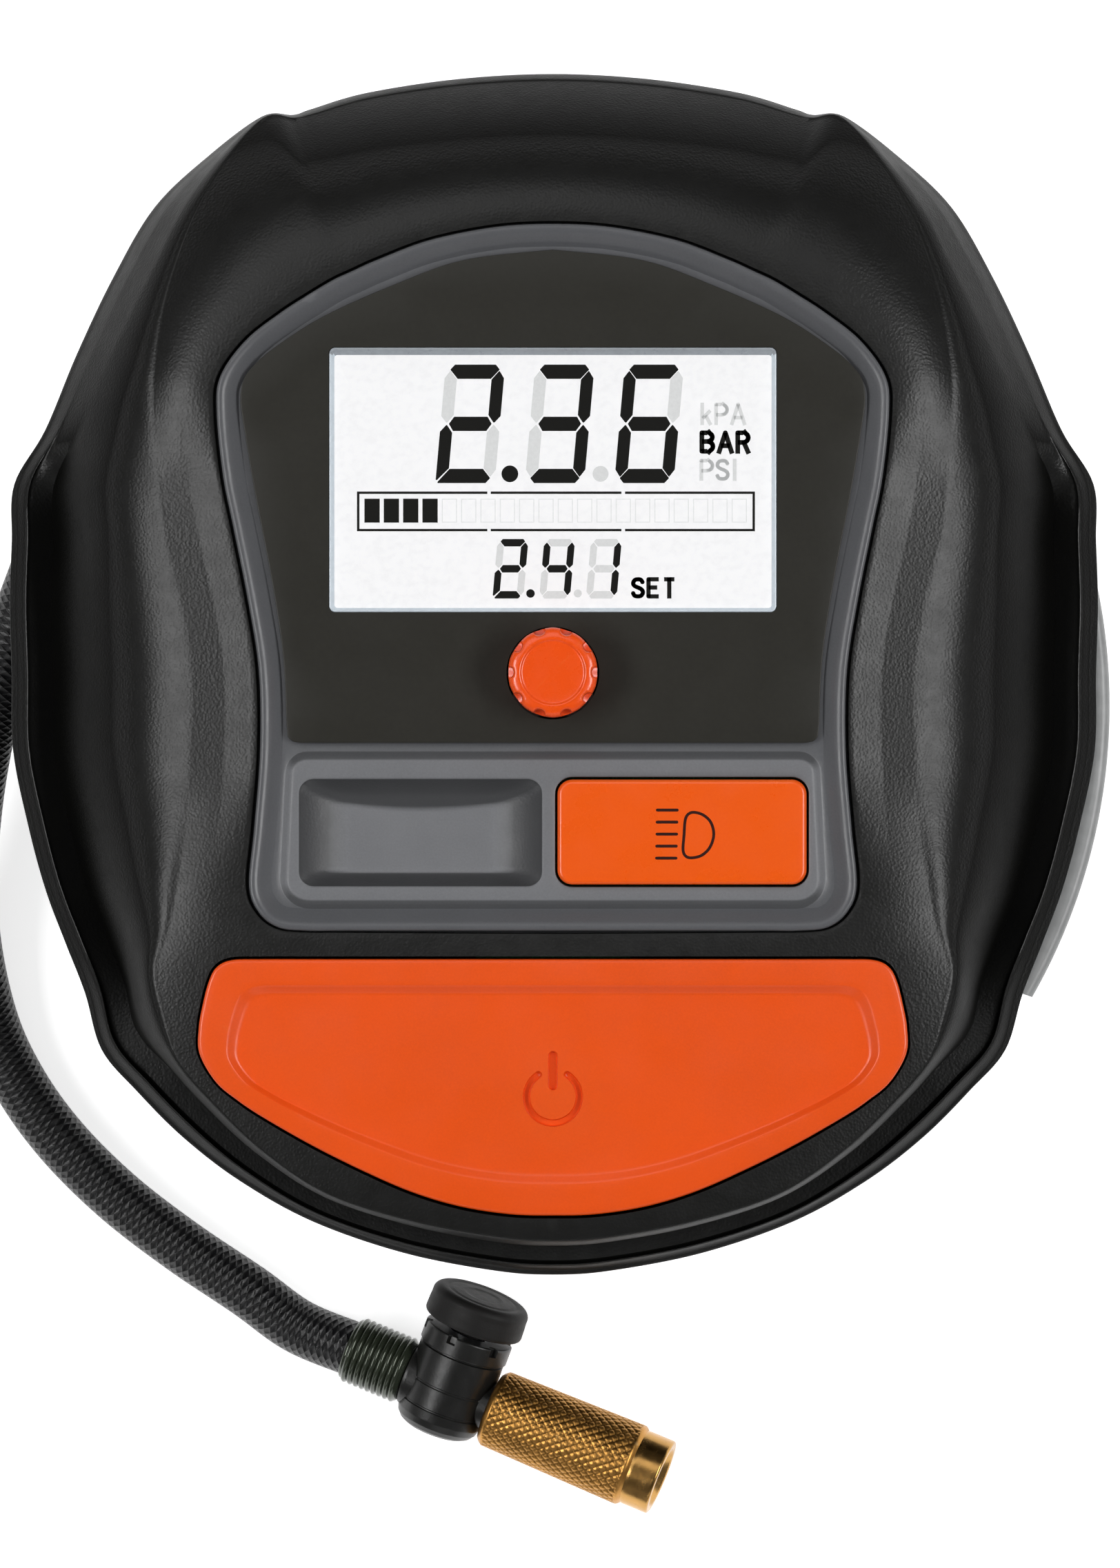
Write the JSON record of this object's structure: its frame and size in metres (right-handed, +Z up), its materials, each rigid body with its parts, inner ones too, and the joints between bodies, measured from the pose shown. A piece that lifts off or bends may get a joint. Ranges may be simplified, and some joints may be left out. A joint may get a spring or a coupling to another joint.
{
  "type": "digital tyre inflator",
  "caption": "Compact digital tyre inflator with display, start button, lamp, hose groove and screw-on brass chuck.",
  "frame": {"origin": "on the housing's centre plane, at the middle of its footprint, on the surface its feet stand on", "axes": "+Z up out of the display, +Y towards the display's top, +X to the display's right"},
  "size_m": [0.1873, 0.2309, 0.084],
  "materials": {
    "housing_black": "black ABS with a fine leather grain",
    "frame_grey": "dark grey fine-textured plastic",
    "panel_dark": "dark glossy overlay",
    "lcd_grey": "pale liquid crystal display",
    "backlight_white": "white light guide",
    "board_green": "green solder mask",
    "screw_steel": "zinc plated steel",
    "lens_clear": "translucent diffusing lens",
    "reflector_silver": "metallised reflector",
    "lamp_board_white": "white LED board",
    "rubber_black": "black rubber",
    "start_orange": "orange plastic, satin",
    "light_orange": "orange plastic, satin",
    "knob_orange": "orange plastic, satin",
    "plastic_black": "black plastic",
    "plastic_white": "natural acetal",
    "shaft_steel": "machined steel",
    "magnet_grey": "ferrite magnet",
    "copper_winding": "enamelled copper winding on a steel stack",
    "cast_aluminium": "die cast aluminium",
    "brass": "turned brass",
    "braided_hose": "black textile braid over rubber",
    "ferrule_dark": "dark ribbed rubber ferrule"
  },
  "bodies": {
    "housing": {"base_shell": "housing_black", "hose_drum": "housing_black", "front_cover": "housing_black", "bezel_frame": "frame_grey", "display_panel": "panel_dark", "lcd_module": "lcd_grey", "backlight_plate": "backlight_white", "main_pcb": "board_green", "pcb_screws": "screw_steel", "lamp_lens": "lens_clear", "lamp_reflector": "reflector_silver", "lamp_board": "lamp_board_white", "rubber_feet": "rubber_black", "housing_screws": "screw_steel", "cable_grommet": "rubber_black", "start_switch": "plastic_black", "light_switch": "plastic_black", "encoder_body": "shaft_steel", "gearbox_frame": "cast_aluminium", "frame_bushes": "rubber_black", "frame_screws": "screw_steel", "motor_can": "shaft_steel", "motor_end_cap": "plastic_black", "motor_magnets": "magnet_grey", "crank_bearing": "shaft_steel", "cylinder": "cast_aluminium", "cylinder_head": "cast_aluminium", "head_gasket": "rubber_black", "head_screws": "screw_steel", "reed_valve": "screw_steel", "outlet_fitting": "brass", "delivery_tube": "rubber_black", "sensor_tube": "plastic_white", "pressure_sensor": "plastic_black", "hose_gland": "rubber_black", "air_hose": "braided_hose", "hose_ferrule": "ferrule_dark", "chuck_body": "plastic_black", "bleed_spring": "screw_steel", "valve_pin": "brass"},
    "start_button_body": {"start_button": "start_orange", "start_plunger": "plastic_white"},
    "light_button_body": {"light_button": "light_orange", "light_plunger": "plastic_white"},
    "encoder_push_body": {"encoder_slider": "brass"},
    "knob_body": {"encoder_shaft": "shaft_steel", "target_knob": "knob_orange"},
    "rotor": {"motor_shaft": "shaft_steel", "motor_armature": "copper_winding", "motor_pinion": "brass"},
    "crank": {"crank_gear": "plastic_white", "crank_shaft": "shaft_steel", "crank_disc": "shaft_steel"},
    "piston": {"piston_rod": "cast_aluminium", "rod_bearing": "shaft_steel", "cup_seal": "rubber_black", "cup_retainer": "screw_steel"},
    "bleed_cap_body": {"bleed_cap": "plastic_black"},
    "chuck_sleeve_body": {"chuck_sleeve": "brass", "chuck_seal": "rubber_black"}
  },
  "joints": [
    {"name": "start_press", "type": "slide", "parent": "housing", "child": "start_button_body", "axis": [0, 0, -1], "range_m": [0, 0.0008], "stiffness_N_per_m": 2500, "springref_m": -0.0003},
    {"name": "light_press", "type": "slide", "parent": "housing", "child": "light_button_body", "axis": [0, 0, -1], "range_m": [0, 0.0008], "stiffness_N_per_m": 2500, "springref_m": -0.0003},
    {"name": "knob_press", "type": "slide", "parent": "housing", "child": "encoder_push_body", "axis": [0, 0, -1], "range_m": [0, 0.0005], "stiffness_N_per_m": 6000, "springref_m": -0.0002},
    {"name": "knob_turn", "type": "hinge", "parent": "encoder_push_body", "child": "knob_body", "pos_m": [0, -0.0003, 0.07], "axis": [0, 0, 1], "continuous": true},
    {"name": "crank_turn", "type": "hinge", "parent": "housing", "child": "crank", "pos_m": [0, 0, 0.038], "axis": [1, 0, 0], "continuous": true},
    {"name": "motor_turn", "type": "hinge", "parent": "housing", "child": "rotor", "pos_m": [-0.03, -0.0216, 0.038], "axis": [1, 0, 0], "continuous": true},
    {"name": "piston_stroke", "type": "slide", "parent": "housing", "child": "piston", "axis": [0, -1, 0], "range_m": [0, 0.012]},
    {"name": "bleed_press", "type": "slide", "parent": "housing", "child": "bleed_cap_body", "axis": [-0.3421, -0.9239, -0.1715], "range_m": [0, 0.001], "stiffness_N_per_m": 800, "springref_m": -0.0005, "deforming": ["bleed_spring"]},
    {"name": "sleeve_turn", "type": "hinge", "parent": "housing", "child": "chuck_sleeve_body", "pos_m": [0.00198, -0.12387, 0.01203], "axis": [0.9164, -0.3684, 0.1564], "continuous": true}
  ],
  "couplings": [
    {"joint": "crank_turn", "follows": "motor_turn", "ratio": -0.2}
  ]
}
